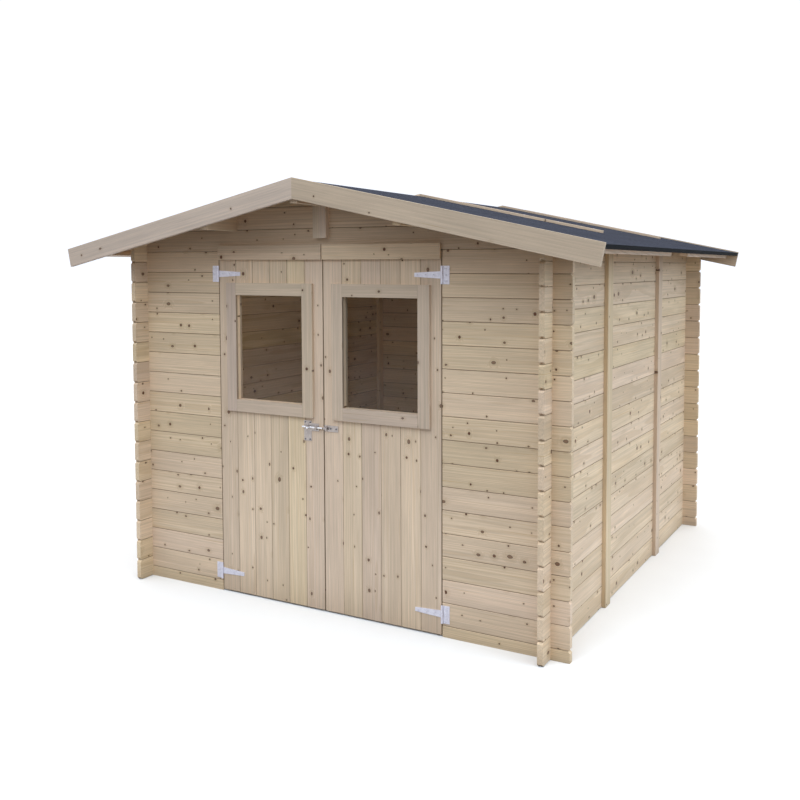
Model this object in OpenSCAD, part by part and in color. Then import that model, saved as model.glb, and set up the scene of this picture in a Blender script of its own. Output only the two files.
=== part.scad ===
// Garden shed of interlocked 28 mm logs with a double door and a low felted gable roof.
// Millimetres. +Z is up, the doors face -Y, and the origin is on the ground under the middle.

/* [Walls] */
// Length of every full log, from end to end
log_length = 2700; // [2100:10:3600]
// Thickness of the logs
log_t = 28; // [20:1:45]
// Height that one log covers
log_h = 114; // [90:1:140]
// Number of logs in each side wall
courses = 17; // [16:1:20]
// How far the log ends stand out past the corner
log_out = 94; // [60:1:140]
// Chamfer along the edges of the logs and boards, which makes the V grooves
groove = 3; // [1:0.5:5]
// Width of the tongue along the top of each log
tongue_w = 9; // [6:0.5:12]
// Height of the tongue along the top of each log
tongue_h = 8; // [4:0.5:12]
// Size of the chamfer on the corners of each log end
end_chamfer = 11; // [4:1:16]

/* [Roof] */
// Slope of the roof, in degrees
pitch = 11.9; // [6:0.1:20]
// How far the roof reaches past the log ends at each side
eave_out = 230; // [100:5:500]
// Reach of the roof in front of the front wall
front_reach = 252; // [160:1:500]
// Thickness of the roof boards
board_t = 18; // [12:1:28]
// Width of one roof board
board_w = 88; // [60:1:140]
// Thickness of the roofing felt
felt_t = 3; // [2:0.5:6]
// Width of the three roof beams
purlin_w = 45; // [30:1:70]
// Height of the three roof beams
purlin_h = 95; // [70:1:110]
// Middle of each side beam, measured from the ridge
purlin_x = 583; // [400:1:800]
// Height of the bargeboards, square to the slope
barge_h = 102; // [80:1:150]
// Thickness of the bargeboards
barge_t = 18; // [14:1:28]
// How far the bargeboards stand above the felt
barge_proud = 6.5; // [2:0.5:15]
// Width of the battens that hold the felt down
felt_batten_w = 40; // [25:1:60]
// Thickness of the battens that hold the felt down
felt_batten_t = 14; // [8:1:22]
// How far the felt battens end short of the roof's lower edge
felt_batten_end = 444; // [0:1:700]
// Place of the first felt batten, back from the bargeboards' face
felt_batten_first = 1246; // [300:1:1300]
// Width of the felt strips, and so the step from one batten to the next
felt_strip = 1196; // [600:1:1400]
// Width of the eave lath under the boards
lath_w = 45; // [30:1:70]
// Thickness of the eave lath
lath_t = 30; // [16:1:40]
// How far the eave lath sits in from the roof's edge
lath_in = 70; // [30:1:120]
// Place of the joint in each eave lath, back from the bargeboards' face
lath_joint = 1046; // [300:1:2000]
// Length of the short lath piece behind the joint
lath_short = 322; // [100:1:700]
// Gap behind the short piece, before the last one
lath_gap = 370; // [10:1:600]

/* [Battens] */
// Width of the upright battens on the side walls
storm_w = 80; // [50:1:110]
// Thickness of the upright battens on the side walls
storm_t = 22; // [16:1:34]
// Distance of each side batten from the wall's middle
storm_y = 490; // [300:5:800]
// Width of the upright board on each gable
gable_board_w = 80; // [50:1:120]
// Thickness of the upright board on each gable
gable_board_t = 28; // [18:1:34]
// Gap between the gable board and the door's head boards below it
gable_board_gap = 33; // [10:1:60]
// Width of the inner battens in the back corners
corner_w = 60; // [40:1:90]
// Thickness of the inner battens in the back corners
corner_t = 28; // [18:1:40]

/* [Doors] */
// Width of the doorway
door_w = 1388; // [1200:2:1600]
// Number of log heights under the doorway's top
door_courses = 16; // [14:1:16]
// Gap at each side of the doorway and between the leaves
door_gap = 5; // [5:0.5:8]
// Gap between the leaves and the ground
door_foot = 9; // [6:1:20]
// Thickness of the upright door boards
leaf_t = 19; // [16:1:24]
// Number of upright boards in a leaf
leaf_boards = 6; // [4:1:8]
// Height of the head board across the top of each leaf
header_h = 76; // [60:1:100]
// Thickness of the head board and window frame
trim_t = 15; // [12:1:20]
// How far the head board laps over the log above
header_lap = 30; // [15:1:40]
// Distance from each side of a leaf to its window opening
window_side = 124; // [80:1:200]
// Distance from a leaf's top to its window opening
window_drop = 230; // [210:1:300]
// Height of the window opening in each leaf
window_h = 565; // [300:1:600]
// Width of the frame boards round the window
frame_w = 66; // [40:1:70]
// Thickness of the inner frame and the ledges
ledge_t = 20; // [16:1:28]
// Width of the ledges on the inside of a leaf
ledge_w = 90; // [60:1:120]
// Thickness of the window glass
glass_t = 4; // [3:1:6]
// Width of the door posts inside the wall
post_w = 58; // [45:1:80]
// Thickness of the door posts, head and sill
post_t = 28; // [20:1:45]
// How far the door posts reach into the doorway
post_lap = 18; // [12:1:24]

/* [Hardware] */
// Length of a hinge strap from the pin
strap_l = 152; // [100:1:250]
// Height of a hinge strap at the pin
strap_h = 36; // [26:1:44]
// Height of a hinge strap at its tip
strap_tip = 20; // [12:1:28]
// Width of the hinge plate on the wall
plate_w = 40; // [30:1:55]
// Height of the hinge plate on the wall
plate_h = 88; // [70:1:120]
// Thickness of the hinge steel
steel_t = 3; // [2:0.5:4]
// Outer diameter of the hinge knuckles
knuckle_d = 12; // [10:0.5:16]
// Diameter of the hinge pin
pin_d = 6; // [4:0.5:8]
// Distance of the upper hinges below a leaf's top
hinge_drop = 116; // [90:1:125]
// Height of the lower hinges above a leaf's foot
hinge_rise = 104; // [60:1:250]
// Distance of the bolt below the window frame
bolt_drop = 47; // [45:1:120]
// Diameter of the bolt
bolt_d = 10; // [8:0.5:14]
// Travel of the bolt
bolt_travel = 28; // [20:1:28]
// Length of the bolt
bolt_l = 128; // [120:1:150]
// Length of the bolt's knob
knob_l = 22; // [16:1:40]
// Diameter of the knob's stem
knob_d = 8; // [5:0.5:10]
// Distance from the meeting line to the far edge of the bolt's plate
latch_far = 125; // [115:1:150]
// Distance from the meeting line to the near edge of the bolt's plate
latch_near = 30; // [10:1:32]
// Width of the tall part of the bolt's plate
latch_w = 48; // [30:1:60]
// Height of the tall part of the bolt's plate
latch_h = 106; // [50:1:120]
// How far the tall part of the bolt's plate reaches above the bolt
latch_up = 32; // [20:1:40]
// Height of the low part of the bolt's plate
strip_h = 40; // [30:1:50]
// Length of each guide that the bolt runs in
guide_l = 14; // [6:1:16]
// Length of the keeper plate
keeper_l = 84; // [60:1:110]
// Height of the keeper plate
keeper_h = 32; // [20:1:50]

/* [Hidden] */
$fn = 48;
fit = 0.3;                       // running gap at pins, slides and tongues
seat = 0.1;                      // gap between one log or sloping layer and the next
clear = 5;                       // gap kept round the moving leaves
wall_w = log_length - 2 * log_out;   // outer faces of the side walls, and of the end walls
half_wall = wall_w / 2;
half_log = log_length / 2;
eave_half = half_log + eave_out; // half of the roof's width at its top edge
tan_p = tan(pitch);
side_top = courses * log_h;      // outer top edge of the side walls
ridge_under = side_top + tan_p * half_wall;   // underside of the roof boards at the ridge
roof_y0 = -(front_reach + wall_w + log_out + barge_t) / 2;   // face of the front bargeboards
roof_y1 = -roof_y0;              // face of the back bargeboards
front_y = roof_y0 + front_reach; // outer face of the front wall
back_y = front_y + wall_w;       // outer face of the back wall
mid_y = (front_y + back_y) / 2;
cover_y0 = roof_y0 + barge_t;    // boards, felt and beams run from here
cover_y1 = roof_y1 - barge_t;    // to here
roof_top_n = board_t + felt_t;   // top of the felt above the boards' underside
barge_n1 = roof_top_n + barge_proud;
barge_n0 = barge_n1 - barge_h;
slope_end = (eave_half - barge_n1 * sin(pitch)) / cos(pitch);
door_half = door_w / 2;
door_top = (door_courses + 0.5) * log_h;
leaf_x0 = door_gap / 2;          // meeting edge of a leaf
leaf_x1 = door_half - door_gap;  // hinge edge of a leaf
leaf_z1 = door_top - clear;
leaf_w = leaf_x1 - leaf_x0;
leaf_mid = (leaf_x0 + leaf_x1) / 2;
window_w = leaf_w - 2 * window_side;
window_z = leaf_z1 - window_drop - window_h;
window_mid = window_z + window_h / 2;
header_z1 = door_top + header_lap;
header_z0 = header_z1 - header_h;
hinge_z_top = leaf_z1 - hinge_drop;
hinge_z_low = door_foot + hinge_rise;
bolt_z = window_z - frame_w - bolt_drop;
hinge_x = door_half;             // the hinge axis stands over the doorway's edge
hinge_off = knuckle_d / 2 + fit;  // the hinge axis stands this far off the wall
hinge_y = front_y - hinge_off;
post_x0 = door_half - post_lap;
inner_y = front_y + log_t;       // inner face of the front wall
bolt_y = front_y - clear - bolt_d / 2;
bolt_back = 3;                   // the drawn bolt ends this far short of the meeting line
keeper_x0 = leaf_x0 + bolt_back;
guide_d = bolt_d + 2 * steel_t;  // outer diameter of the guides
front_guide_x = -latch_near - clear - guide_l;
knob_x = front_guide_x - bolt_travel - bolt_back - knob_d / 2;   // the drawn bolt's knob
back_guide_x = knob_x - knob_d / 2 - bolt_back - guide_l;

pine = [0.80, 0.72, 0.60];
pine_light = [0.85, 0.78, 0.67];
felt_grey = [0.33, 0.34, 0.40];
zinc = [0.78, 0.78, 0.84];
pane = [0.60, 0.68, 0.70, 0.4];

// Height of the boards' underside at a distance x from the ridge.
function roof_z(x) = ridge_under - tan_p * abs(x);

// A point given by its distance s down the slope and its height n above the boards' underside.
function slope_pt(s, n) = [s * cos(pitch) + n * sin(pitch), ridge_under - s * sin(pitch) + n * cos(pitch)];

// Shapes drawn for the right-hand side, made for the left.
module to_left() {
    mirror([1, 0, 0]) children();
}

// Draws an outline in XZ with the thickness t going back from y.
module upright(y, t) {
    translate([0, y + t, 0]) rotate([90, 0, 0]) linear_extrude(t) children();
}

// Section of a log with its outer face at 0: chamfered edges, a groove below and a tongue on top.
// The top log of a side wall has a top that follows the roof in place of the tongue.
module log_section(under_roof) {
    middle = log_t / 2;
    tongue = tongue_w / 2;
    slot = tongue + fit;
    top = log_h - seat;
    bottom_edge = [
        [0, groove], [groove, 0],
        [middle - slot, 0], [middle - slot, tongue_h + fit],
        [middle + slot, tongue_h + fit], [middle + slot, 0],
        [log_t - groove, 0], [log_t, groove]
    ];
    roof_edge = [[log_t, log_h + tan_p * log_t], [0, log_h]];
    tongue_edge = [
        [log_t, top - groove], [log_t - groove, top],
        [middle + tongue, top], [middle + tongue, log_h + tongue_h],
        [middle - tongue, log_h + tongue_h], [middle - tongue, top],
        [groove, top], [0, top - groove]
    ];
    polygon(concat(bottom_edge, under_roof ? roof_edge : tongue_edge));
}

// Outline of a log along X: chamfers on both ends, a tongue that stops short of them,
// and a quarter-log notch above and below at each corner, where the other wall's logs pass through.
module log_outline(under_roof) {
    notch = log_h / 4;
    difference() {
        translate([-half_log, 0]) square([log_length, log_h + 2 * notch]);
        for (side = [-1, 1]) {
            for (z = [0, log_h]) {
                translate([side * (half_wall - log_t / 2), z]) square([log_t, 2 * notch], center = true);
            }
            for (z = under_roof ? [0] : [0, log_h]) {
                translate([side * half_log, z]) rotate(45) square(end_chamfer * sqrt(2), center = true);
            }
            if (!under_roof)
                translate([side * half_log - end_chamfer, log_h]) square([2 * end_chamfer, log_h]);
        }
    }
}

// A stack of logs along X from the height z0, with its outer face at y = 0, cut to a given outline.
module log_wall(z0, count, under_roof) {
    for (i = [0:count - 1]) {
        z = z0 + i * log_h;
        top_log = under_roof && i == count - 1;
        intersection() {
            upright(0, log_t) intersection() {
                translate([0, z]) log_outline(top_log);
                children();
            }
            translate([-half_log, 0, z]) rotate([90, 0, 90]) linear_extrude(log_length) log_section(top_log);
        }
    }
}

// Slots in the gable logs for the three roof beams.
module purlin_slots() {
    translate([-purlin_w / 2, ridge_under - purlin_h]) square([purlin_w, purlin_h]);
    for (side = [-1, 1]) {
        translate([side * purlin_x - purlin_w / 2, purlin_base(purlin_x)]) square([purlin_w, purlin_h]);
    }
}

// Underside of a roof beam whose middle is at x.
function purlin_base(x) = roof_z(max(0, x - purlin_w / 2)) - purlin_h;

// Outline of an end wall from the height z0 up to the roof.
module end_outline(z0) {
    difference() {
        polygon([
            [-half_log, z0], [half_log, z0],
            [half_log, roof_z(half_log)], [0, ridge_under], [-half_log, roof_z(half_log)]
        ]);
        purlin_slots();
    }
}

// Logs beside the doorway, from the half log on the ground up to the doorway's top.
module front_wall(side) {
    color(pine) translate([0, front_y, 0]) log_wall(-log_h / 2, door_courses + 1, false)
        translate([side > 0 ? door_half : -half_log, 0]) square([half_log - door_half, door_top + tongue_h]);
}

module front_gable() {
    color(pine) translate([0, front_y, 0]) log_wall(door_top, ceil((ridge_under - door_top) / log_h), false)
        end_outline(door_top);
}

module back_wall() {
    color(pine) translate([0, back_y, 0]) rotate([0, 0, 180])
        log_wall(-log_h / 2, ceil(ridge_under / log_h + 0.5), false) end_outline(0);
}

module side_wall(side) {
    color(pine_light) translate([side * half_wall, mid_y, 0]) rotate([0, 0, side * 90])
        log_wall(0, courses, true) translate([-half_log, 0]) square([log_length, side_top + log_t]);
}

// Roof beam with a top that follows the boards above it.
module purlin(x) {
    near = x - purlin_w / 2;
    far = x + purlin_w / 2;
    base = x == 0 ? ridge_under - purlin_h : purlin_base(x);
    top = x == 0 ? [[far, roof_z(far)], [0, ridge_under], [near, roof_z(near)]]
                 : [[far, roof_z(far)], [near, roof_z(near)]];
    color(pine) upright(cover_y0, cover_y1 - cover_y0) polygon(concat([[near, base], [far, base]], top));
}

// Outline of a layer of the right-hand roof slope, cut plumb at the ridge and square at its lower end.
module slope_outline(s0, s1, n0, n1) {
    polygon([
        slope_pt(s0 - (s0 == 0 ? n0 * tan_p : 0), n0), slope_pt(s1, n0),
        slope_pt(s1, n1), slope_pt(s0 - (s0 == 0 ? n1 * tan_p : 0), n1)
    ]);
}

// Boards of the right-hand slope, with a V joint between boards on the underside.
module roof_boards() {
    count = floor((cover_y1 - cover_y0) / board_w);
    color(pine) difference() {
        upright(cover_y0, cover_y1 - cover_y0) slope_outline(0, slope_end - felt_t - seat, seat, board_t);
        for (i = [1:count]) {
            translate([0, cover_y0 + i * board_w, ridge_under]) rotate([0, pitch, 0]) rotate([45, 0, 0])
                translate([-board_t, -groove / 2, -groove / 2])
                    cube([slope_end + 2 * board_t, groove, groove]);
        }
    }
}

// One sheet of felt over the ridge, folded down over the ends of the boards.
module felt_half() {
    upright(cover_y0, cover_y1 - cover_y0) union() {
        slope_outline(0, slope_end, board_t + seat, roof_top_n);
        slope_outline(slope_end - felt_t, slope_end, 0, roof_top_n);
    }
}

module roof_felt() {
    color(felt_grey) {
        felt_half();
        to_left() felt_half();
    }
}

// Battens over the joints of the felt strips on the right-hand slope.
module felt_battens() {
    color(pine_light) for (y = [roof_y0 + felt_batten_first:felt_strip:cover_y1 - felt_batten_w]) {
        upright(y, felt_batten_w)
            slope_outline(0, slope_end - felt_batten_end, roof_top_n + seat, roof_top_n + felt_batten_t);
    }
}

// Lath under the right-hand eave: a long and a short piece end to end, a gap, and a last piece.
module eave_lath() {
    joint = roof_y0 + lath_joint;
    short_end = joint + lath_short;
    ends = [[cover_y0, joint - fit], [joint + fit, short_end], [short_end + lath_gap, cover_y1]];
    color(pine_light) for (y = ends) {
        upright(y[0], y[1] - y[0])
            slope_outline(slope_end - lath_in - lath_w, slope_end - lath_in, -lath_t, 0);
    }
}

module bargeboard(y) {
    color(pine_light) upright(y, barge_t) slope_outline(0, slope_end, barge_n0, barge_n1);
}

// Upright battens on the outside of the right-hand wall.
module storm_battens() {
    color(pine) for (y = [mid_y - storm_y, mid_y + storm_y]) {
        upright(y - storm_w / 2, storm_w) polygon([
            [half_wall, 0], [half_wall + storm_t, 0],
            [half_wall + storm_t, roof_z(half_wall + storm_t)], [half_wall, side_top]
        ]);
    }
}

// Upright battens inside the two back corners.
module corner_battens() {
    color(pine) for (side = [-1, 1]) {
        x = half_wall - log_t;
        upright(back_y - log_t - corner_w, corner_w) polygon([
            [side * x, 0], [side * (x - corner_t), 0],
            [side * (x - corner_t), roof_z(x - corner_t)], [side * x, roof_z(x)]
        ]);
    }
}

// Board on a gable, from the ridge beam down to just above the door's head boards.
module gable_board(y) {
    base = header_z1 + gable_board_gap;
    color(pine) translate([-gable_board_w / 2, y, base])
        cube([gable_board_w, gable_board_t, ridge_under - purlin_h - base]);
}

module door_posts() {
    color(pine) for (side = [-1, 1]) {
        translate([side > 0 ? post_x0 : -post_x0 - post_w, inner_y, 0])
            cube([post_w, post_t, door_top + post_w - post_lap]);
    }
}

module door_head() {
    color(pine) translate([-post_x0, inner_y, door_top - post_lap]) cube([2 * post_x0, post_t, post_w]);
}

module door_sill() {
    color(pine) translate([-post_x0, inner_y, 0]) cube([2 * post_x0, post_t, door_foot + post_lap]);
}

// Upright boards of the right-hand leaf, with V joints on both faces and the window cut through.
module leaf_boards() {
    step = leaf_w / leaf_boards;
    color(pine) difference() {
        translate([leaf_x0, front_y, door_foot]) cube([leaf_w, leaf_t, leaf_z1 - door_foot]);
        for (i = [1:leaf_boards - 1], y = [front_y, front_y + leaf_t]) {
            translate([leaf_x0 + i * step, y, 0]) rotate([0, 0, 45]) translate([-groove / 2, -groove / 2, 0])
                cube([groove, groove, door_top]);
        }
        translate([leaf_mid - window_w / 2, front_y - leaf_t, window_z])
            cube([window_w, 3 * leaf_t, window_h]);
    }
}

// Head board of the right-hand leaf, thinner at the back where it laps over the log above.
module leaf_header() {
    color(pine) difference() {
        translate([leaf_x0, front_y - trim_t, header_z0]) cube([leaf_w, trim_t, header_h]);
        translate([0, front_y - clear, leaf_z1]) cube([door_w, 2 * clear, header_h]);
    }
}

// Flat ring of boards round the right-hand window.
module window_ring(y, t, width) {
    translate([leaf_mid, 0, window_mid]) upright(y, t) difference() {
        square([window_w + 2 * width, window_h + 2 * width], center = true);
        square([window_w, window_h], center = true);
    }
}

module window_frame() {
    color(pine) window_ring(front_y - trim_t, trim_t, frame_w);
}

// Inner window frame, rebated at the back for the glass.
module window_sash() {
    seat = glass_t * 2;
    color(pine) difference() {
        window_ring(front_y + leaf_t, ledge_t, frame_w);
        translate([leaf_mid - window_w / 2 - seat, front_y + leaf_t + ledge_t - glass_t, window_z - seat])
            cube([window_w + 2 * seat, glass_t + 1, window_h + 2 * seat]);
    }
}

module window_glass() {
    seat = glass_t * 2;
    back = front_y + leaf_t + ledge_t;
    color(pane) translate([leaf_mid - window_w / 2 - seat, back - glass_t, window_z - seat])
        cube([window_w + 2 * seat, glass_t, window_h + 2 * seat]);
}

// Ledges across the back of the right-hand leaf, and the brace between the lower two.
module leaf_ledges() {
    x0 = leaf_x0 + 2 * clear;
    x1 = post_x0 - 2 * clear;
    low = door_foot + ledge_w;
    mid = window_z - frame_w - 2 * clear - ledge_w;
    high = leaf_z1 - post_lap - 2 * clear - ledge_w;
    color(pine) {
        for (z = [low, mid, high]) {
            translate([x0, front_y + leaf_t, z]) cube([x1 - x0, ledge_t, ledge_w]);
        }
        upright(front_y + leaf_t, ledge_t) polygon([
            [x1 - ledge_w, low + ledge_w], [x1, low + ledge_w], [x0 + ledge_w, mid], [x0, mid]
        ]);
    }
}

// Wall plate of one right-hand hinge, with two knuckles and the pin.
module hinge_plate(z) {
    half_strap = strap_h / 2;
    knuckle_h = (plate_h - strap_h) / 2;
    translate([hinge_x, hinge_y, z]) {
        translate([knuckle_d / 2 + fit, hinge_off - steel_t, -plate_h / 2])
            cube([plate_w - knuckle_d / 2 - fit, steel_t, plate_h]);
        for (z0 = [-plate_h / 2, half_strap]) {
            translate([0, hinge_off - steel_t, z0]) cube([plate_w, steel_t, knuckle_h]);
            translate([0, 0, z0]) cylinder(d = knuckle_d, h = knuckle_h);
        }
        translate([0, 0, -plate_h / 2]) cylinder(d = pin_d, h = plate_h);
    }
}

// Strap of one hinge on the given side: a bored knuckle and a blade that tapers to its tip.
module hinge_strap(side, z) {
    body_h = strap_h - 2 * fit;
    root = -side * knuckle_d / 4;
    translate([side * hinge_x, hinge_y, z]) difference() {
        union() {
            translate([0, 0, -body_h / 2]) cylinder(d = knuckle_d, h = body_h);
            upright(hinge_off - steel_t, steel_t) polygon([
                [root, -body_h / 2], [-side * strap_l, -strap_tip / 2],
                [-side * strap_l, strap_tip / 2], [root, body_h / 2]
            ]);
        }
        translate([0, 0, -strap_h]) cylinder(d = pin_d + 2 * fit, h = 2 * strap_h);
    }
}

module hinge_plates() {
    color(zinc) for (z = [hinge_z_low, hinge_z_top]) hinge_plate(z);
}

module hinge_straps(side) {
    color(zinc) for (z = [hinge_z_low, hinge_z_top]) hinge_strap(side, z);
}

// A rounded guide for the bolt, standing on a leaf from x for the given length.
module bolt_guide(x, length) {
    translate([x, bolt_y, bolt_z]) {
        rotate([0, 90, 0]) cylinder(d = guide_d, h = length);
        translate([0, 0, -guide_d / 2]) cube([length, front_y - bolt_y, guide_d]);
    }
}

// Steel plate on a leaf's face from x for the given length, with its top so far above the bolt.
module latch_steel(x, length, height, up) {
    translate([x, front_y - steel_t, bolt_z + up - height]) cube([length, steel_t, height]);
}

// Hole along X that the bolt runs through.
module bolt_hole() {
    translate([-door_half, bolt_y, bolt_z]) rotate([0, 90, 0]) cylinder(d = bolt_d + 2 * fit, h = door_w);
}

// Plate on the left leaf with two guides that the bolt slides through.
module latch_plate() {
    color(zinc) difference() {
        union() {
            latch_steel(-latch_far, latch_w, latch_h, latch_up);
            latch_steel(-latch_far, latch_far - latch_near, strip_h, strip_h / 2);
            bolt_guide(front_guide_x, guide_l);
            bolt_guide(back_guide_x, guide_l);
        }
        bolt_hole();
    }
}

module latch_bolt() {
    color(zinc) translate([0, bolt_y, bolt_z]) {
        translate([-bolt_l - bolt_back, 0, 0]) rotate([0, 90, 0]) cylinder(d = bolt_d, h = bolt_l);
        translate([knob_x, 0, 0]) rotate([90, 0, 0]) cylinder(d = knob_d, h = knob_l);
        translate([knob_x, -knob_l, 0]) sphere(d = bolt_d + steel_t);
    }
}

// Plate on the right leaf with the guide that the shot bolt enters.
module latch_keeper() {
    color(zinc) difference() {
        union() {
            latch_steel(keeper_x0, keeper_l, keeper_h, keeper_h / 2);
            bolt_guide(keeper_x0, bolt_travel - 2 * bolt_back);
        }
        bolt_hole();
    }
}

front_wall(-1);  // front_wall_left
front_wall(1);  // front_wall_right
front_gable();
back_wall();
side_wall(-1);  // left_wall
side_wall(1);  // right_wall
purlin(0);  // ridge_purlin
to_left() purlin(purlin_x);  // left_purlin
purlin(purlin_x);  // right_purlin
to_left() roof_boards();  // roof_boards_left
roof_boards();  // roof_boards_right
roof_felt();
to_left() felt_battens();  // felt_battens_left
felt_battens();  // felt_battens_right
to_left() eave_lath();  // eave_lath_left
eave_lath();  // eave_lath_right
to_left() bargeboard(roof_y0);  // bargeboard_front_left
bargeboard(roof_y0);  // bargeboard_front_right
to_left() bargeboard(cover_y1);  // bargeboard_back_left
bargeboard(cover_y1);  // bargeboard_back_right
to_left() storm_battens();  // storm_battens_left
storm_battens();  // storm_battens_right
corner_battens();
gable_board(front_y - gable_board_t);  // gable_board_front
gable_board(back_y);  // gable_board_back
door_posts();
door_head();
door_sill();
to_left() hinge_plates();  // hinge_plates_left
hinge_plates();  // hinge_plates_right
to_left() leaf_boards();  // left_door_boards
to_left() leaf_header();  // left_door_header
to_left() window_frame();  // left_window_frame
to_left() leaf_ledges();  // left_door_ledges
to_left() window_sash();  // left_window_sash
to_left() window_glass();  // left_window_glass
hinge_straps(-1);  // left_hinge_straps
leaf_boards();  // right_door_boards
leaf_header();  // right_door_header
window_frame();  // right_window_frame
leaf_ledges();  // right_door_ledges
window_sash();  // right_window_sash
window_glass();  // right_window_glass
hinge_straps(1);  // right_hinge_straps
latch_plate();
latch_bolt();
latch_keeper();
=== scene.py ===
"""Looks of a log-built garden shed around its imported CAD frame: materials, fasteners, light and camera."""
import math

import bmesh
import bpy
from mathutils import Matrix, Vector


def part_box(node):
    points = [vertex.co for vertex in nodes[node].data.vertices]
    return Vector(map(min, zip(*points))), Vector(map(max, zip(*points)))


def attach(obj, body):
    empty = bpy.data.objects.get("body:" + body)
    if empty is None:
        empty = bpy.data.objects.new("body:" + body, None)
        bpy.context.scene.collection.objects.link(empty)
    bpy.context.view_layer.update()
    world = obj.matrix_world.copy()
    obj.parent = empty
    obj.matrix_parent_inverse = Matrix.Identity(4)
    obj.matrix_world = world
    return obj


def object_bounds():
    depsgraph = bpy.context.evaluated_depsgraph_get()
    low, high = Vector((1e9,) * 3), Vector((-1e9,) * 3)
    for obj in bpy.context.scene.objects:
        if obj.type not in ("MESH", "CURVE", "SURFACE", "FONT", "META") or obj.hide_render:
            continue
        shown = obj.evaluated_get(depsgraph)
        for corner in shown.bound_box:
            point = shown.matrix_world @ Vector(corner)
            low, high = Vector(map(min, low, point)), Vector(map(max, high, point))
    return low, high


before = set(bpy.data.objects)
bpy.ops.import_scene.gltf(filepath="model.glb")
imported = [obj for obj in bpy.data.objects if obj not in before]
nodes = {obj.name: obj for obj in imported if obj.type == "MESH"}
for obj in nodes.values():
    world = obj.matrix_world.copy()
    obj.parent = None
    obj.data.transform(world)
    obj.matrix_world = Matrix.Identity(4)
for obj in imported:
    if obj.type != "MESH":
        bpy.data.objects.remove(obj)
cad_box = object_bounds()
scene = bpy.context.scene

SIDES = (("left", -1), ("right", 1))


# ---------------------------------------------------------------- sizes of the shed, in metres

LOG_HEIGHT = 0.114
ROOF_BOARD = 0.088
DOOR_BOARDS = 6
FRAME_WIDTH = 0.066
PITCH = math.radians(11.9)

# distance from the shed's middle to a hinge's pin, and half the height of a hinge's plate
HINGE_X = 0.694
HINGE_PLATE_HALF = 0.044

# thickness of the latch's plates, and half the width of a felt batten
STEEL = 0.003
BATTEN_HALF = 0.020


def middle(node):
    lo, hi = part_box(node)
    return (lo + hi) / 2


# ---------------------------------------------------------------- node helpers


class Wire:
    """A node's output. Arithmetic with wires and numbers adds Math nodes and gives a new wire."""

    def __init__(self, tree, socket):
        self.tree = tree
        self.socket = socket

    def __add__(self, other):
        return self.tree.math("ADD", self, other)

    def __radd__(self, other):
        return self.tree.math("ADD", other, self)

    def __sub__(self, other):
        return self.tree.math("SUBTRACT", self, other)

    def __rsub__(self, other):
        return self.tree.math("SUBTRACT", other, self)

    def __mul__(self, other):
        return self.tree.math("MULTIPLY", self, other)

    def __truediv__(self, other):
        return self.tree.math("DIVIDE", self, other)

    def __pow__(self, other):
        return self.tree.math("POWER", self, other)

    def __abs__(self):
        return self.tree.math("ABSOLUTE", self)


class Tree:
    """Adds nodes to a node tree. An input is given as a wire, which is linked, or as a number or colour."""

    def __init__(self, tree):
        self.tree = tree

    def feed(self, socket, value):
        if isinstance(value, Wire):
            self.tree.links.new(value.socket, socket)
        else:
            socket.default_value = value

    def add(self, kind, *inputs, **settings):
        """A node with its first inputs given in their order."""
        node = self.tree.nodes.new(kind)
        for key, value in settings.items():
            setattr(node, key, value)
        for socket, value in zip(node.inputs, inputs):
            self.feed(socket, value)
        return node

    def fill(self, node, values):
        """Gives a node's inputs by name. Of inputs with one name, only the enabled one counts."""
        for name, value in values.items():
            socket = next(s for s in node.inputs if s.enabled and s.name == name)
            self.feed(socket, value)
        return node

    def make(self, kind, values, **settings):
        return self.fill(self.add(kind, **settings), values)

    def wire(self, node, output=0):
        return Wire(self, node.outputs[output])

    def math(self, operation, *inputs):
        return self.wire(self.add("ShaderNodeMath", *inputs, operation=operation))

    def relative(self, point, origin):
        """The point's place as measured from origin."""
        return self.wire(self.add("ShaderNodeVectorMath", point, origin, operation="SUBTRACT"))

    def hypotenuse(self, a, b):
        return self.math("SQRT", a * a + b * b)

    def join(self, x, y, z):
        return self.wire(self.add("ShaderNodeCombineXYZ", x, y, z))

    def split(self, vector):
        return [Wire(self, socket) for socket in self.add("ShaderNodeSeparateXYZ", vector).outputs]

    def coordinates(self, kind="Object"):
        return self.wire(self.add("ShaderNodeTexCoord"), kind)

    def dice(self, seed):
        """Three random numbers from 0 to 1, always the same for one seed."""
        node = self.make("ShaderNodeTexWhiteNoise", {"W": seed}, noise_dimensions="1D")
        return self.split(self.wire(node, "Color"))

    def noise(self, vector, scale=1.0, detail=2.0, roughness=0.5):
        values = {"Vector": vector, "Scale": scale, "Detail": detail, "Roughness": roughness}
        return self.wire(self.make("ShaderNodeTexNoise", values), "Fac")

    def cells(self, vector, scale, dimensions="3D"):
        """Cells about scattered points."""
        values = {"Vector": vector, "Scale": scale}
        return self.make("ShaderNodeTexVoronoi", values, voronoi_dimensions=dimensions, feature="F1")

    def step(self, value, low, high, from_value=0.0, to_value=1.0):
        """A smooth change from from_value to to_value as value goes from low to high."""
        values = {"Value": value, "From Min": low, "From Max": high, "To Min": from_value, "To Max": to_value}
        return self.wire(self.make("ShaderNodeMapRange", values, interpolation_type="SMOOTHSTEP"))

    def mix(self, factor, a, b, **settings):
        settings = {"data_type": "RGBA", **settings}
        node = self.make("ShaderNodeMix", {"Factor": factor, "A": a, "B": b}, **settings)
        return Wire(self, next(socket for socket in node.outputs if socket.enabled))

    def tint(self, paint, by):
        return self.mix(1.0, paint, by, blend_type="MULTIPLY")

    def dim(self, paint, by):
        """The paint times a number."""
        return self.tint(paint, self.join(by, by, by))

    def bump(self, height, distance, strength, **more):
        values = {"Height": height, "Distance": distance, "Strength": strength, **more}
        return self.wire(self.make("ShaderNodeBump", values))


def colour(r, g, b):
    return (r, g, b, 1.0)


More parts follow.
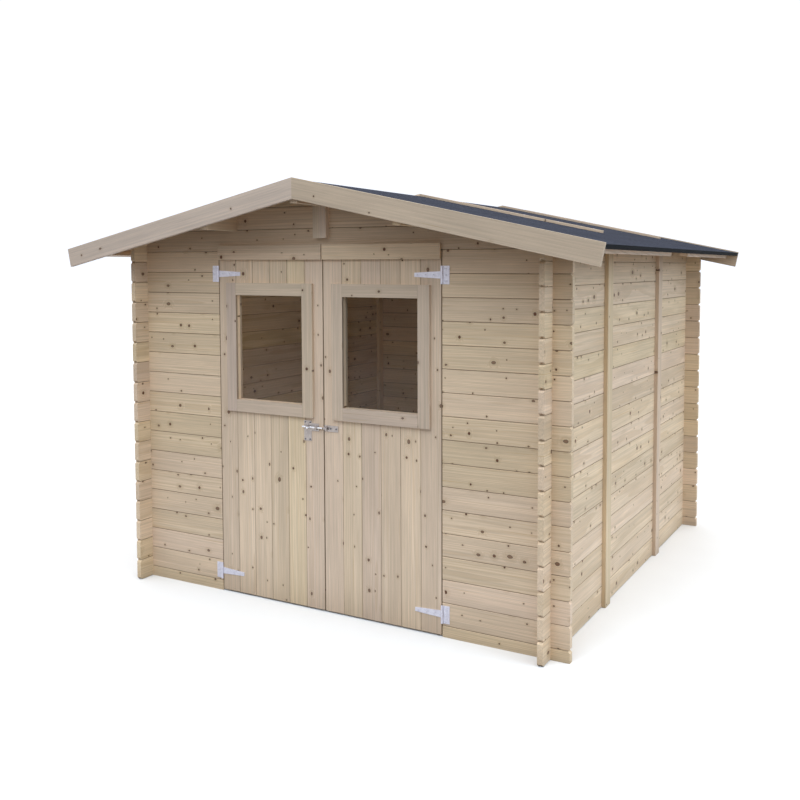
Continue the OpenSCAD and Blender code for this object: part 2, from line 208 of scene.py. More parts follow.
def surface(name):
    """A material with only a Principled shader, the tree to add its nodes to, and the shader."""
    material = bpy.data.materials.new(name)
    material.use_nodes = True
    material.node_tree.nodes.clear()
    t = Tree(material.node_tree)
    shader = t.add("ShaderNodeBsdfPrincipled")
    t.add("ShaderNodeOutputMaterial", t.wire(shader))
    return material, t, shader


def dress(material, *names):
    """Gives CAD nodes one material."""
    for name in names:
        mesh = nodes[name].data
        mesh.materials.clear()
        mesh.materials.append(material)


# ---------------------------------------------------------------- wood

EARLY = colour(0.750, 0.580, 0.385)
LATE = colour(0.560, 0.400, 0.232)
YELLOW = colour(1.03, 0.99, 0.89)
PINK = colour(1.00, 0.945, 0.965)
KNOT = colour(0.120, 0.045, 0.018)
KNOT_RIM = colour(0.028, 0.012, 0.006)
RESIN = colour(0.470, 0.270, 0.085)
JOINT = colour(0.150, 0.095, 0.055)

# each cell of a board may hold one knot, and its radius is the smallest plus up to the range
KNOT_CELL = 0.080
KNOT_SMALLEST = 0.0025
KNOT_RANGE = 0.0080
KNOT_SKEW = 2.2
KNOT_ROUGHNESS = 160.0
KNOT_WOBBLE = 0.004
RIM_WIDTH = 0.0016

# the heart of the trunk lies off the board's face, up to half of HEART_ASIDE to either side
HEART_DEPTH = 0.012
HEART_DEPTH_RANGE = 0.085
HEART_ASIDE = 0.09
HEART_LEAN = 0.05
WANDER_ASIDE = 0.010
WANDER_DEEP = 0.012
KNOT_PUSH = 0.010
RING_NARROWEST = 0.0032
RING_RANGE = 0.0030

# waves in a metre of each pattern, along and across the grain
WANDER = (1.1, 7.0)
STREAKS = (1.3, 105.0)
FIBRES = (9.0, 420.0)
CLOUDS = (2.2, 9.0)
RESIN_STREAKS = (2.4, 170.0)

# what sets one board's random numbers, knots and stretch of grain apart from the next one's
BOARD_SEED = 1.7
SECOND_DICE = 31.7
RESIN_SEED = 1.3
KNOT_ROWS = 7.0
TRUNK = 40.0

# a step wider than any piece, for a piece that is one board
WHOLE = 9.0


def knot_masks(t, grain_place, knots, shifted, within, board):
    """Masks of each knot's core, its dark rim and the bent grain about it, and how dark the core is."""
    cell_place = t.join(shifted / KNOT_CELL, within / KNOT_CELL + board * KNOT_ROWS, 0.0)
    spots = t.cells(cell_place, 1.0, "2D")
    chance, size, dark = t.split(t.wire(spots, "Color"))
    along, across, _ = t.split(t.relative(cell_place, t.wire(spots, "Position")))
    stretched = along * t.step(dark, 0.0, 1.0, 0.65, 1.10)
    wobble = (t.noise(grain_place, KNOT_ROUGHNESS, 1.0) - 0.5) * KNOT_WOBBLE
    away = t.hypotenuse(stretched, across) * KNOT_CELL + wobble
    radius = KNOT_SMALLEST + size ** KNOT_SKEW * KNOT_RANGE
    is_knot = t.math("LESS_THAN", chance, knots)
    core = is_knot * t.step(away, radius * 0.8, radius, 1.0, 0.0)
    rim = is_knot * t.step(abs(away - radius * 0.9), 0.0, RIM_WIDTH, 1.0, 0.0)
    halo = is_knot * t.step(away, radius, radius * 4.0, 1.0, 0.0)
    return core, rim, halo, t.step(dark, 0.0, 1.0, 0.75, 1.0)


def wood_group():
    """Solid wood in board coordinates: x along the grain, y across the board, z into it, all in metres.
    Step is the boards' width, and every board gets its own heart, tone and knots. Knots is the share of cells
    that hold one, Joint the strength of the line between boards, and Vary how much their tones differ."""
    group = bpy.data.node_groups.new("wood_grain", "ShaderNodeTree")
    group.interface.new_socket("Vector", in_out="INPUT", socket_type="NodeSocketVector")
    for name in ("Step", "Seed", "Knots", "Joint", "Vary"):
        group.interface.new_socket(name, in_out="INPUT", socket_type="NodeSocketFloat")
    group.interface.new_socket("Color", in_out="OUTPUT", socket_type="NodeSocketColor")
    group.interface.new_socket("Height", in_out="OUTPUT", socket_type="NodeSocketFloat")
    t = Tree(group)
    given = t.add("NodeGroupInput")
    grain_place = t.wire(given, "Vector")
    step = t.wire(given, "Step")
    along, across, depth = t.split(grain_place)

    # the board that a point is in, the place across it from its middle, and the board's own random numbers
    number = across / step
    board = t.math("FLOOR", number)
    within = (number - board - 0.5) * step
    seed = board * BOARD_SEED + t.wire(given, "Seed")
    slide, heart_aside, heart_deep = t.dice(seed)
    own, ring_size, hue = t.dice(seed + SECOND_DICE)
    shifted = along + slide * TRUNK

    def pattern(waves, third, detail=2.0, roughness=0.5):
        along_waves, across_waves = waves
        return t.noise(t.join(shifted * along_waves, within * across_waves, third), 1.0, detail, roughness)

    core, rim, halo, knot_dark = knot_masks(t, grain_place, t.wire(given, "Knots"), shifted, within, board)

    # rings about a heart that lies off the board, leaning and wandering along it, and pushed aside by knots
    wander = pattern(WANDER, seed) - 0.5
    lean = (own - 0.5) * (along * HEART_LEAN)
    aside = (within + (heart_aside - 0.5) * HEART_ASIDE) + (lean + wander * WANDER_ASIDE)
    deep = (depth + (HEART_DEPTH + heart_deep * HEART_DEPTH_RANGE)) + wander * WANDER_DEEP
    radial = t.hypotenuse(aside, deep) + halo * KNOT_PUSH
    ring = t.math("FRACT", radial / (RING_NARROWEST + ring_size * RING_RANGE))
    late = t.step(ring, 0.35, 0.90) * t.step(ring, 0.94, 1.0, 1.0, 0.0)

    # streaks, fibres and patches, each much longer than wide
    streak = pattern(STREAKS, depth * STREAKS[1], 3.0, 0.65)
    fibre = pattern(FIBRES, depth * FIBRES[1], 2.0, 0.6)
    cloud = pattern(CLOUDS, seed)
    resin = pattern(RESIN_STREAKS, seed * RESIN_SEED, 1.0)

    wood = t.mix(late * t.step(streak, 0.3, 0.7, 0.15, 0.60), EARLY, LATE)
    wood = t.mix(halo * 0.45, wood, LATE)
    wood = t.tint(wood, t.mix(hue, YELLOW, PINK))
    light = 1.0 + t.wire(given, "Vary") * t.step(own, 0.0, 1.0, -0.16, 0.06)
    for field, low, high, darkest, brightest in (
        (cloud, 0.25, 0.75, 0.93, 1.05),
        (streak, 0.28, 0.72, 0.83, 1.07),
        (fibre, 0.25, 0.75, 0.93, 1.04),
    ):
        light = light * t.step(field, low, high, darkest, brightest)
    wood = t.dim(wood, light)
    wood = t.mix(t.step(resin, 0.70, 0.80, 0.0, 0.45), wood, RESIN)
    wood = t.mix(core * knot_dark, wood, KNOT)
    wood = t.mix(rim * 0.85, wood, KNOT_RIM)
    # the joint between boards holds a thin line of shade
    edge = step * 0.5 - abs(within)
    wood = t.mix(t.step(edge, 0.0004, 0.0028, t.wire(given, "Joint"), 0.0), wood, JOINT)
    height = fibre * 0.5 + (late * 0.35 + core * 0.6)
    t.make("NodeGroupOutput", {"Color": wood, "Height": height})
    return group


WOOD = wood_group()
GRAIN_RELIEF = 0.0006


def finish_wood(t, shader, grain_inputs, tint, shade=None):
    """Wires the grain to the shader. shade is the strength of a joint line besides those of the grain."""
    grain = t.make("ShaderNodeGroup", grain_inputs, node_tree=WOOD)
    paint = t.wire(grain, "Color")
    if shade is not None:
        paint = t.mix(shade, paint, JOINT)
    if tint:
        paint = t.tint(paint, colour(*tint))
    t.fill(shader, {
        "Base Color": paint,
        "Roughness": 0.62,
        "Specular IOR Level": 0.35,
        "Normal": t.bump(t.wire(grain, "Height"), GRAIN_RELIEF, 0.6),
    })


def board_place(t, axes, origin, turn):
    """Object coordinates as (along, across, depth). axes names the object's axis for each. A turn about Y
    levels a slope first."""
    point = t.relative(t.coordinates(), origin)
    if turn:
        values = {"Vector": point, "Angle": turn}
        point = t.wire(t.make("ShaderNodeVectorRotate", values, rotation_type="Y_AXIS"))
    parts = dict(zip("xyz", t.split(point)))
    return t.join(*[parts[axis] for axis in axes])


def wood_material(name, axes, origin, seed, step=WHOLE, turn=0.0, knots=0.3, joint=0.0, vary=1.0, tint=None):
    """Boards of one width, side by side from origin. Knots fade out on end grain."""
    material, t, shader = surface(name)
    facing = t.split(t.coordinates("Normal"))["xyz".index(axes[0])]
    grain_inputs = {
        "Vector": board_place(t, axes, origin, turn),
        "Step": step,
        "Seed": seed,
        "Knots": t.step(abs(facing), 0.55, 0.75, knots, 0.0),
        "Joint": joint,
        "Vary": vary,
    }
    finish_wood(t, shader, grain_inputs, tint)
    return material


FRAME_TINT = (0.84, 0.86, 0.94)
STILE_SEED = 3.3
SIDE_SEED = 1.1


def frame_material(name, node, opening_half, seed):
    """A four-sided frame: upright grain in its full-height stiles, level grain in the rails between them."""
    material, t, shader = surface(name)
    x, y, z = t.split(t.relative(t.coordinates(), middle(node)))
    is_stile = t.math("GREATER_THAN", abs(x), opening_half)
    rail_place = t.join(x, abs(z), y)
    stile_place = t.join(z, x, y)
    # one board for each stile and each rail
    side = t.math("SIGN", is_stile * x + (1.0 - is_stile) * z)
    grain_inputs = {
        "Vector": t.mix(is_stile, rail_place, stile_place, data_type="VECTOR"),
        "Step": WHOLE,
        "Seed": (is_stile * STILE_SEED + side * SIDE_SEED) + seed,
        "Knots": 0.22,
        "Joint": 0.0,
        "Vary": 0.5,
    }
    seam = t.step(abs(abs(x) - opening_half), 0.0003, 0.0010, 0.55, 0.0)
    finish_wood(t, shader, grain_inputs, FRAME_TINT, seam)
    return material


# log walls: the side walls' joints are whole logs above the ground, and the end walls' half a log lower
ORIGIN = (0, 0, 0)
SIDE_LOGS = {"step": LOG_HEIGHT, "knots": 0.42, "joint": 0.75, "vary": 0.6}
END_LOGS = {"step": LOG_HEIGHT, "knots": 0.38, "joint": 0.75, "vary": 0.8}
front_start = (0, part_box("front_gable")[0].y, -LOG_HEIGHT / 2)
back_start = (0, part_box("back_wall")[1].y, -LOG_HEIGHT / 2)
dress(wood_material("logs_left", "yzx", ORIGIN, seed=11.3, **SIDE_LOGS), "left_wall")
dress(wood_material("logs_right", "yzx", ORIGIN, seed=23.9, **SIDE_LOGS), "right_wall")
dress(wood_material("logs_back", "xzy", back_start, seed=31.1, **END_LOGS), "back_wall")
front_logs = wood_material("logs_front", "xzy", front_start, seed=44.5, **END_LOGS)
dress(front_logs, "front_wall_left", "front_wall_right", "front_gable")

# purlins and laths along the shed; the step puts each purlin in a board of its own
PURLIN_STEP = 0.6
PURLIN_LEVEL = 1.9
LATH_LEVEL = 1.85
# the laths are painted lighter than the other wood: painted light, as if light fell straight on them
LATH_PAINTED_LIGHT = (1.18, 1.25, 1.40)
purlin_start = (PURLIN_STEP / 2, 0, PURLIN_LEVEL)
purlin_wood = wood_material("planed_along", "yxz", purlin_start, seed=3.1, step=PURLIN_STEP, knots=0.25)
dress(purlin_wood, "ridge_purlin", "left_purlin", "right_purlin")
lath_wood = wood_material("lath_along", "yxz", (0, 0, LATH_LEVEL), seed=4.6, knots=0.12, tint=LATH_PAINTED_LIGHT)
dress(lath_wood, "eave_lath_left", "eave_lath_right")

# sloping pieces, levelled by the roof's pitch
# the left bargeboards are painted lighter and bluer, which is painted light, and the right ones darker, which
# is painted shade
BARGEBOARD_LIGHT_AND_SHADE = {"left": (0.94, 0.99, 1.19), "right": (0.82, 0.84, 0.90)}
FELT_BATTEN_STEP = 0.6
ridge = (0, 0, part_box("roof_felt")[1].z)
for side, sign in SIDES:
    turn = -sign * PITCH
    bargeboard_wood = wood_material(
        f"planed_slope_{side}", "xzy", ridge, seed=5.0 + sign,
        turn=turn, knots=0.22, tint=BARGEBOARD_LIGHT_AND_SHADE[side])
    dress(bargeboard_wood, f"bargeboard_front_{side}", f"bargeboard_back_{side}")
    felt_batten_wood = wood_material(
        f"batten_slope_{side}", "xyz", ridge, seed=8.0 + sign, step=FELT_BATTEN_STEP, turn=turn, knots=0.2)
    dress(felt_batten_wood, f"felt_battens_{side}")
    roof_start = (0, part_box(f"roof_boards_{side}")[0].y, ridge[2])
    roof_wood = wood_material(
        f"roof_slope_{side}", "xyz", roof_start, seed=14.0 + sign,
        step=ROOF_BOARD, turn=turn, knots=0.35, joint=0.5)
    dress(roof_wood, f"roof_boards_{side}")

# upright pieces; the step puts neighbours in boards of their own
UPRIGHT_STEP = 0.7
BATTEN_START = (0, -0.9, 0)
GABLE_BOARD_TINT = (1.08, 1.14, 1.30)
# the sill is painted dark: painted shade for the gap under the doors
SILL_PAINTED_SHADE = (0.48, 0.42, 0.38)
post_wood = wood_material("planed_upright", "zxy", ORIGIN, seed=6.3, step=UPRIGHT_STEP, knots=0.2)
dress(post_wood, "door_posts")
batten_wood = wood_material("batten_upright", "zyx", BATTEN_START, seed=17.3, step=UPRIGHT_STEP, knots=0.25)
dress(batten_wood, "storm_battens_left", "storm_battens_right", "corner_battens")
gable_wood = wood_material(
    "gable_board_wood", "zxy", ORIGIN, seed=7.9, step=UPRIGHT_STEP, knots=0.2, tint=GABLE_BOARD_TINT)
dress(gable_wood, "gable_board_front", "gable_board_back")
head_wood = wood_material("door_head_wood", "xzy", middle("door_head"), seed=7.7, knots=0.15)
dress(head_wood, "door_head")
sill_wood = wood_material("door_sill_wood", "xzy", middle("door_sill"), seed=9.1, knots=0.15, tint=SILL_PAINTED_SHADE)
dress(sill_wood, "door_sill")

# door leaves
LEAF_TINT = (1.00, 1.01, 1.03)
for side, seed in (("left", 2.0), ("right", 4.5)):
    start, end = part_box(f"{side}_door_boards")
    board_width = (end.x - start.x) / DOOR_BOARDS
    frame_lo, frame_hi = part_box(f"{side}_window_frame")
    opening_half = (frame_hi.x - frame_lo.x) / 2 - FRAME_WIDTH
    leaf_wood = wood_material(
        f"{side}_leaf_boards", "zxy", start, seed=50 + seed, step=board_width,
        knots=0.26, joint=0.55, vary=0.5, tint=LEAF_TINT)
    dress(leaf_wood, f"{side}_door_boards")
    header = f"{side}_door_header"
    dress(wood_material(f"{side}_header", "xzy", middle(header), seed=60 + seed), header)
    dress(wood_material(f"{side}_ledges", "xzy", start, seed=80 + seed), f"{side}_door_ledges")
    for part, start_seed in (("frame", 70), ("sash", 90)):
        node = f"{side}_window_{part}"
        dress(frame_material(f"{side}_{part}", node, opening_half, start_seed + seed), node)


# ---------------------------------------------------------------- felt, glass, zinc

# grains of grit in a metre
GRIT = 520.0
GRIT_DARK = colour(0.013, 0.014, 0.020)
GRIT_LIGHT = colour(0.050, 0.053, 0.070)
BITUMEN_AND_PAINTED_SHADE = colour(0.006, 0.0065, 0.007)


def felt_material():
    """Gritted felt on top, and bare bitumen on the folded edges, where it is darker: the colour of every face
    that doesn't face up is partly bare bitumen and partly painted shade.
    """
    material, t, shader = surface("mineral_felt")
    point = t.coordinates()
    grit = t.cells(point, GRIT)
    shade = t.split(t.wire(grit, "Color"))[0]
    speckled = t.mix(t.step(shade, 0.1, 0.9), GRIT_DARK, GRIT_LIGHT)
    gritted = t.dim(speckled, t.step(t.noise(point, 5.0, 3.0), 0.3, 0.7, 0.88, 1.10))
    # faces that don't face up get the dark colour, partly bare bitumen and partly painted shade
    facing_up = t.split(t.wire(t.add("ShaderNodeNewGeometry"), "Normal"))[2]
    grains = t.bump(t.wire(grit, "Distance"), 0.0008, 0.7)
    t.fill(shader, {
        "Base Color": t.mix(t.step(facing_up, 0.4, 0.8), BITUMEN_AND_PAINTED_SHADE, gritted),
        "Roughness": 0.92,
        "Specular IOR Level": 0.12,
        "Normal": t.bump(t.noise(point, 6.0), 0.004, 0.35, Normal=grains),
    })
    return material


# spangles of zinc in a metre
SPANGLES = 140.0


def zinc_material(name, dull, bright, smooth, rough, metal=0.85):
    """Spangled zinc between two colours and between two roughnesses."""
    material, t, shader = surface(name)
    point = t.coordinates()
    shade = t.split(t.wire(t.cells(point, SPANGLES), "Color"))[0]
    cloud = t.noise(point, 60.0, 3.0)
    t.fill(shader, {
        "Base Color": t.mix(t.step(shade, 0.0, 1.0, 0.25, 0.75), colour(*dull), colour(*bright)),
        "Metallic": metal,
        "Roughness": t.step(cloud, 0.25, 0.75, smooth, rough),
        "Normal": t.bump(cloud, 0.0002, 0.3),
    })
    return material


CLEAN_GLASS = colour(0.020, 0.022, 0.024)
# the colour of the dust specks and of the painted reflection low on the panes
REFLECTION_AND_DUST = colour(0.310, 0.300, 0.290)
# the share of a pane's height over which the painted reflection thins out
PAINTED_REFLECTION_REACH = 0.7


def glass_material(low, high):
    """A thin clear pane with dust specks, and a painted reflection that lightens the lower part of its
    height.
    """
    material, t, shader = surface("clear_glass")
    point = t.coordinates()
    rise = t.split(point)[2]
    patches = t.step(t.noise(point, 4.0), 0.2, 0.8, 0.5, 1.0)
    # painted reflection: a lighter haze low on the pane that fades upwards; the specks below are dust
    painted_reflection = t.step(rise, low, low + PAINTED_REFLECTION_REACH * (high - low), 1.0, 0.0) * patches
    specks = t.step(t.noise(point, 260.0), 0.55, 0.75, 0.0, 0.25)
    t.fill(shader, {
        "Base Color": t.mix(painted_reflection + specks, CLEAN_GLASS, REFLECTION_AND_DUST),
        "Roughness": t.step(painted_reflection, 0.0, 1.0, 0.02, 0.12),
        "Alpha": 0.07,
        "IOR": 1.5,
        "Normal": t.bump(t.noise(point, 3.0, 1.0), 0.0004, 0.15),
    })
    return material


zinc = zinc_material(
    "zinc_plate", (0.63, 0.59, 0.63), (0.77, 0.73, 0.76), smooth=0.40, rough=0.55, metal=0.35)
bolt_plate = zinc_material(
    "bolt_plate", (0.35, 0.30, 0.27), (0.47, 0.41, 0.37), smooth=0.30, rough=0.45, metal=0.70)
bolt_steel = zinc_material("bolt_steel", (0.80, 0.79, 0.80), (0.90, 0.89, 0.90), smooth=0.20, rough=0.32)
dark_steel = zinc_material("dark_steel", (0.10, 0.10, 0.11), (0.17, 0.17, 0.18), smooth=0.30, rough=0.45)
pane_lo, pane_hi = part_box("left_window_glass")
dress(felt_material(), "roof_felt")
dress(glass_material(pane_lo.z, pane_hi.z), "left_window_glass", "right_window_glass")
dress(zinc, "left_hinge_straps", "right_hinge_straps", "hinge_plates_left", "hinge_plates_right")
dress(bolt_plate, "latch_plate", "latch_keeper")
dress(bolt_steel, "latch_bolt")


# ---------------------------------------------------------------- eased edges

# planed and sawn edges are eased by about a millimetre, so that they catch the light; a weld first joins the
# corners that faces share
EASE = 0.0012
WELD = 0.00002
EASE_ANGLE = math.radians(40)
EASED = [
    "ridge_purlin", "left_purlin", "right_purlin", "corner_battens", "gable_board_front", "gable_board_back",
    "door_posts", "door_head", "door_sill",
]
for side, _ in SIDES:
    EASED += [f"{start}_{side}" for start in (
        "storm_battens", "eave_lath", "bargeboard_front", "bargeboard_back", "felt_battens")]
    EASED += [f"{side}_{end}" for end in ("door_header", "window_frame", "window_sash", "door_ledges")]
for name in EASED:
    weld = nodes[name].modifiers.new("weld", "WELD")
    weld.merge_threshold = WELD
    ease = nodes[name].modifiers.new("ease", "BEVEL")
    ease.width = EASE
    ease.segments = 2
    ease.limit_method = "ANGLE"
    ease.angle_limit = EASE_ANGLE


# ---------------------------------------------------------------- screws and nails


def stacked_rings(mesh, profile, steps, offset=0.0):
    """Level rings of vertices about Z from (radius, height) pairs, each joined to the next by quads."""
    circles = []
    for radius, height in profile:
        angles = [2 * math.pi * (k + offset) / steps for k in range(steps)]
        circles.append([mesh.verts.new((radius * math.cos(a), radius * math.sin(a), height)) for a in angles])
    for low, high in zip(circles, circles[1:]):
        for k in range(steps):
            n = (k + 1) % steps
            mesh.faces.new((low[k], low[n], high[n], high[k]))
    return circles


def flat_head(diameter):
    """A flat nail's head, standing on z = 0, its upper edge eased."""
    radius = diameter / 2
    rim = 0.0006
    eased = 0.0006
    thickness = 0.0011
    mesh = bmesh.new()
    circles = stacked_rings(mesh, [(radius, 0.0), (radius, rim), (radius - eased, thickness)], 20)
    mesh.faces.new(list(reversed(circles[0])))
    mesh.faces.new(circles[-1])
    return mesh


def pan_head(diameter):
    """A pan-head screw's head with a cross recess, standing on z = 0."""
    steps = 32
    radius = diameter / 2
    top_height = 0.30 * diameter
    slot_half = 0.07 * diameter
    slot_reach = 0.33 * diameter
    slot_depth = 0.20 * diameter
    slot_taper = 0.55
    mesh = bmesh.new()
    dome = [
        (radius, 0.0),
        (radius, 0.10 * diameter),
        (0.92 * radius, 0.22 * diameter),
        (0.78 * radius, 0.28 * diameter),
    ]
    last = stacked_rings(mesh, dome, steps, 0.5)[-1]
    # the cross has twelve corners, and the top between it and the last ring is filled with triangles
    top = []
    for quarter in range(4):
        turn = Matrix.Rotation(quarter * math.pi / 2, 4, "Z")
        for x, y in ((slot_reach, -slot_half), (slot_reach, slot_half), (slot_half, slot_half)):
            top.append(mesh.verts.new(turn @ Vector((x, y, top_height))))
    corners = len(top)
    cross = [mesh.edges.new((top[i], top[(i + 1) % corners])) for i in range(corners)]
    rim = [mesh.edges.get((last[k], last[(k + 1) % steps])) for k in range(steps)]
    bmesh.ops.triangle_fill(mesh, edges=cross + rim, use_beauty=True)
    # faces inside the cross give way to its sunk walls and floor
    for face in [f for f in mesh.faces if all(v in top for v in f.verts)]:
        mesh.faces.remove(face)
    floor_corners = []
    for corner in top:
        x, y, z = corner.co
        floor_corners.append(mesh.verts.new((x * slot_taper, y * slot_taper, z - slot_depth)))
    for i in range(corners):
        n = (i + 1) % corners
        mesh.faces.new((top[i], top[n], floor_corners[n], floor_corners[i]))
    mesh.faces.new(floor_corners)
    bmesh.ops.recalc_face_normals(mesh, faces=mesh.faces)
    return mesh


def fasteners(name, body, head, places, facing, material, first_spin=0.0):
    """One piece holding a head at each place, all facing one way and each spun on from the last."""
    next_spin = 1.9
    whole = bmesh.new()
    outwards = Vector((0, 0, 1)).rotation_difference(Vector(facing)).to_matrix().to_4x4()
    for k, point in enumerate(places):
        copy = head.copy()
        spin = Matrix.Rotation(first_spin + next_spin * k, 4, "Z")
        copy.transform(Matrix.Translation(point) @ outwards @ spin)
        data = bpy.data.meshes.new("part")
        copy.to_mesh(data)
        copy.free()
        whole.from_mesh(data)
        bpy.data.meshes.remove(data)
    data = bpy.data.meshes.new(name)
    whole.to_mesh(data)
    whole.free()
    data.materials.append(material)
    piece = bpy.data.objects.new(name, data)
    scene.collection.objects.link(piece)
    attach(piece, body)


SCREW_HEAD = 0.0085
NAIL_HEAD = 0.007
screw = pan_head(SCREW_HEAD)
nail = flat_head(NAIL_HEAD)
FRONT = (0, -1, 0)

# places of the screws of one hinge, measured from its pin and its middle height
PLATE_SCREW_X = 0.026
PLATE_SCREW_RISES = (-0.030, 0.0, 0.030)
STRAP_SCREW_REACHES = (0.040, 0.084, 0.130)
for side, sign in SIDES:
    plate_lo, plate_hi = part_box(f"hinge_plates_{side}")
    strap_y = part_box(f"{side}_hinge_straps")[0].y
    plate_x = sign * (HINGE_X + PLATE_SCREW_X)
    levels = (plate_lo.z + HINGE_PLATE_HALF, plate_hi.z - HINGE_PLATE_HALF)
    on_plate = [(plate_x, plate_lo.y, z + rise) for z in levels for rise in PLATE_SCREW_RISES]
    on_strap = [(sign * (HINGE_X - reach), strap_y, z) for z in levels for reach in STRAP_SCREW_REACHES]
    fasteners(f"hinge_plate_screws_{side}", "shed", screw, on_plate, FRONT, zinc)
    fasteners(f"hinge_strap_screws_{side}", f"{side}_leaf", screw, on_strap, FRONT, zinc, first_spin=0.8)

# the latch plate has four screws round its guides and one on its strip, and the keeper has two
EDGE = 0.0085
INNER_SCREW_X = 0.039
STRIP_SCREW_INSET = 0.013
STRIP_SCREW_DROP = 0.010
KEEPER_SCREW_INSETS = (0.012, 0.046)
latch_lo, latch_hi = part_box("latch_plate")
keeper_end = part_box("latch_keeper")[1].x
bolt_level = middle("latch_keeper").z
latch_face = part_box("left_door_boards")[0].y - STEEL
on_latch = [
    (latch_lo.x + x, latch_face, z)
    for z in (latch_hi.z - EDGE, latch_lo.z + EDGE)
    for x in (EDGE, INNER_SCREW_X)
]
on_latch.append((latch_hi.x - STRIP_SCREW_INSET, latch_face, bolt_level - STRIP_SCREW_DROP))
on_keeper = [(keeper_end - inset, latch_face, bolt_level) for inset in KEEPER_SCREW_INSETS]
fasteners("latch_plate_screws", "left_leaf", screw, on_latch, FRONT, dark_steel, first_spin=0.4)
fasteners("latch_keeper_screws", "right_leaf", screw, on_keeper, FRONT, dark_steel, first_spin=1.1)

# flat nails hold the felt battens down, evenly spaced from near the ridge to near the eave
NAIL_END = 0.050
NAIL_COUNT = 6
for side, sign in SIDES:
    lo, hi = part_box(f"felt_battens_{side}")
    farthest = max(abs(lo.x), abs(hi.x)) - NAIL_END
    on_battens = []
    for k in range(NAIL_COUNT):
        out = NAIL_END + (farthest - NAIL_END) * k / (NAIL_COUNT - 1)
        for y in (lo.y + BATTEN_HALF, hi.y - BATTEN_HALF):
            on_battens.append((sign * out, y, hi.z - out * math.tan(PITCH)))
    upwards = (sign * math.sin(PITCH), 0, math.cos(PITCH))
    fasteners(f"felt_nails_{side}", "shed", nail, on_battens, upwards, zinc)


# ---------------------------------------------------------------- floor

FLOOR_RADIUS = 60.0
FLOOR_RINGS = 24
FLOOR_STEPS = 96
FLOOR_GROWTH = 1.6
FLOOR_GAP = 0.0005
PAPER_DARK = colour(0.92, 0.885, 0.810)
PAPER_LIGHT = colour(0.95, 0.915, 0.840)


def floor_disc():
    """A level disc whose rings grow wider outwards."""
    mesh = bmesh.new()
    profile = [(FLOOR_RADIUS * (i / FLOOR_RINGS) ** FLOOR_GROWTH, 0.0) for i in range(FLOOR_RINGS, 0, -1)]
    circles = stacked_rings(mesh, profile, FLOOR_STEPS)
    mesh.faces.new(circles[-1])
    data = bpy.data.meshes.new("studio_floor")
    mesh.to_mesh(data)
    mesh.free()
    data.materials.append(paper_material())
    return bpy.data.objects.new("studio_floor", data)


def paper_material():
    material, t, shader = surface("studio_paper")
    cloud = t.noise(t.coordinates(), 3.0)
    t.fill(shader, {"Base Color": t.mix(cloud, PAPER_DARK, PAPER_LIGHT), "Roughness": 0.9})
    return material


floor = floor_disc()
floor.location.z = cad_box[0].z - FLOOR_GAP
scene.collection.objects.link(floor)
# the paper sends no light back up, so eaves and gable stay in shade
floor.visible_diffuse = False


# ---------------------------------------------------------------- light

# strength of the sky below the horizon, what it gains there, and what it gains from there to the top
SKY_BELOW = 0.03
SKY_LOW = 0.45
SKY_RISE = 1.10
HORIZON = (-0.10, -0.05)
# what is seen behind the shed is at least this bright, an even white
BACKDROP = 1.02

world = bpy.data.worlds.new("studio")
scene.world = world
world.use_nodes = True
sky = Tree(world.node_tree)
height = sky.split(sky.coordinates("Generated"))[2]
bright = SKY_LOW + sky.math("MAXIMUM", height, 0.0) * SKY_RISE
dome = SKY_BELOW + sky.step(height, *HORIZON) * bright
backdrop = sky.wire(sky.add("ShaderNodeLightPath"), "Is Camera Ray") * BACKDROP
sky.fill(world.node_tree.nodes["Background"], {
    "Color": colour(1.0, 1.035, 1.13),
    "Strength": sky.math("MAXIMUM", dome, backdrop),
})


def lamp(name, place, width, power, tint, depth=None):
    """An area lamp that shines down: a disc, or a rectangle where a depth is given."""
    light = bpy.data.lights.new(name, "AREA")
    light.shape = "RECTANGLE" if depth else "DISK"
    light.size = width
    light.size_y = depth or width
    light.energy = power
    light.color = tint
    holder = bpy.data.objects.new(name, light)
    holder.location = place
    scene.collection.objects.link(holder)
    return holder


def aim(holder, target):
    away = Vector(target) - holder.location
    holder.rotation_euler = away.to_track_quat("-Z", "Y").to_euler()


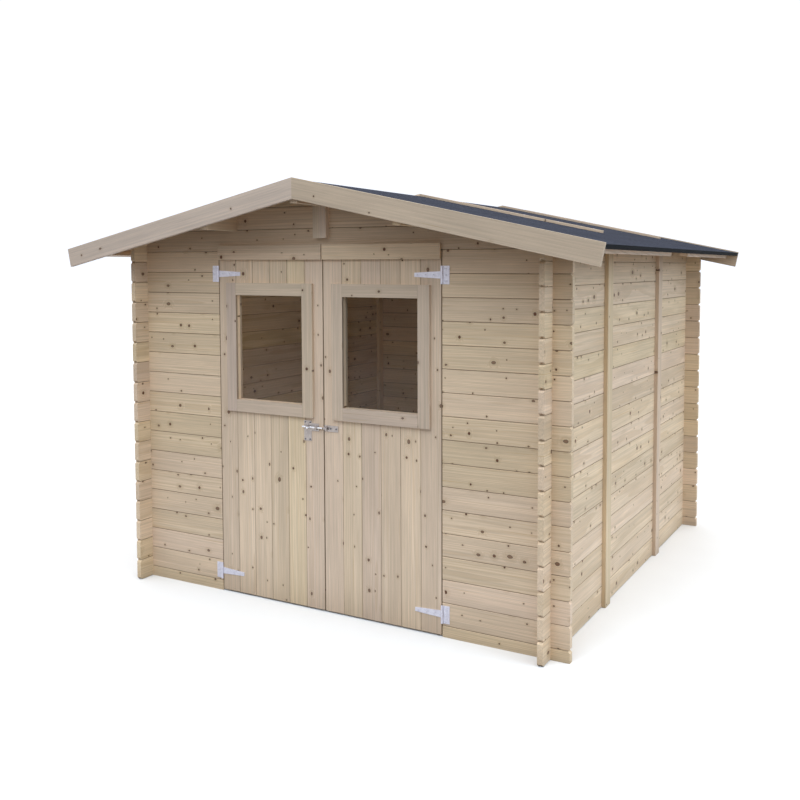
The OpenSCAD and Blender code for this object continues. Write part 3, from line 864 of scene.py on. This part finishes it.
SHED_MIDDLE = (0, 0, 1.0)
aim(lamp("key", (9.2, -1.6, 4.2), width=6.0, power=380, tint=(0.61, 0.81, 1.06)), SHED_MIDDLE)
aim(lamp("fill", (0.5, -7.0, 8.5), width=6.0, power=350, tint=(0.62, 0.81, 1.06)), SHED_MIDDLE)

# the daylight that comes in at the panes and falls on the left wall, which shows through them
INDOORS_TARGET = (-1.0, 0.6, 1.1)
indoors = lamp("daylight_indoors", (0.2, -1.0, 1.45), width=0.45, power=3.9, tint=(1.0, 0.95, 0.84))
aim(indoors, INDOORS_TARGET)
indoors.visible_camera = False

# the paper beside the walls throws light back, most of it low down: lamps lie on the floor and shine up
BOUNCE_START = 1.40
BOUNCE_DEPTH = 1.2
BOUNCE_END = 4.6
BOUNCE_SIDE = 2.9
BOUNCE_POWER = 2.5
BOUNCE_LIFT = 0.002
BOUNCE_TINT = (0.82, 0.98, 1.25)
for name, x, y in (("front", 0, -1), ("back", 0, 1), ("left", -1, 0), ("right", 1, 0)):
    reach = BOUNCE_START + BOUNCE_DEPTH / 2
    width, depth = (BOUNCE_DEPTH, BOUNCE_SIDE) if x else (BOUNCE_END, BOUNCE_DEPTH)
    place = (x * reach, y * reach, BOUNCE_LIFT)
    power = BOUNCE_POWER * width * depth
    bounce = lamp(f"bounce_{name}", place, width, power, BOUNCE_TINT, depth)
    bounce.rotation_euler = (math.pi, 0, 0)
    bounce.visible_camera = False
    bounce.visible_glossy = False


# ---------------------------------------------------------------- camera

# it stands off the shed's front right corner, above the windows, and looks back to the left and a little down
VIEWER = (2.7586, -4.9994, 1.8005)
TURN_LEFT = 27.72
LOOK_DOWN = 3.41
SENSOR = 36.0
LENS = 40.9923
SHIFT = (-0.067, -0.0992)
FARTHEST = 200

camera = bpy.data.cameras.new("camera")
camera.sensor_width = SENSOR
camera.lens = LENS
camera.shift_x, camera.shift_y = SHIFT
camera.clip_end = FARTHEST
viewer = bpy.data.objects.new("camera", camera)
viewer.location = VIEWER
viewer.rotation_euler = (math.radians(90 - LOOK_DOWN), 0, math.radians(TURN_LEFT))
scene.collection.objects.link(viewer)
scene.camera = viewer
scene.view_settings.view_transform = "Standard"
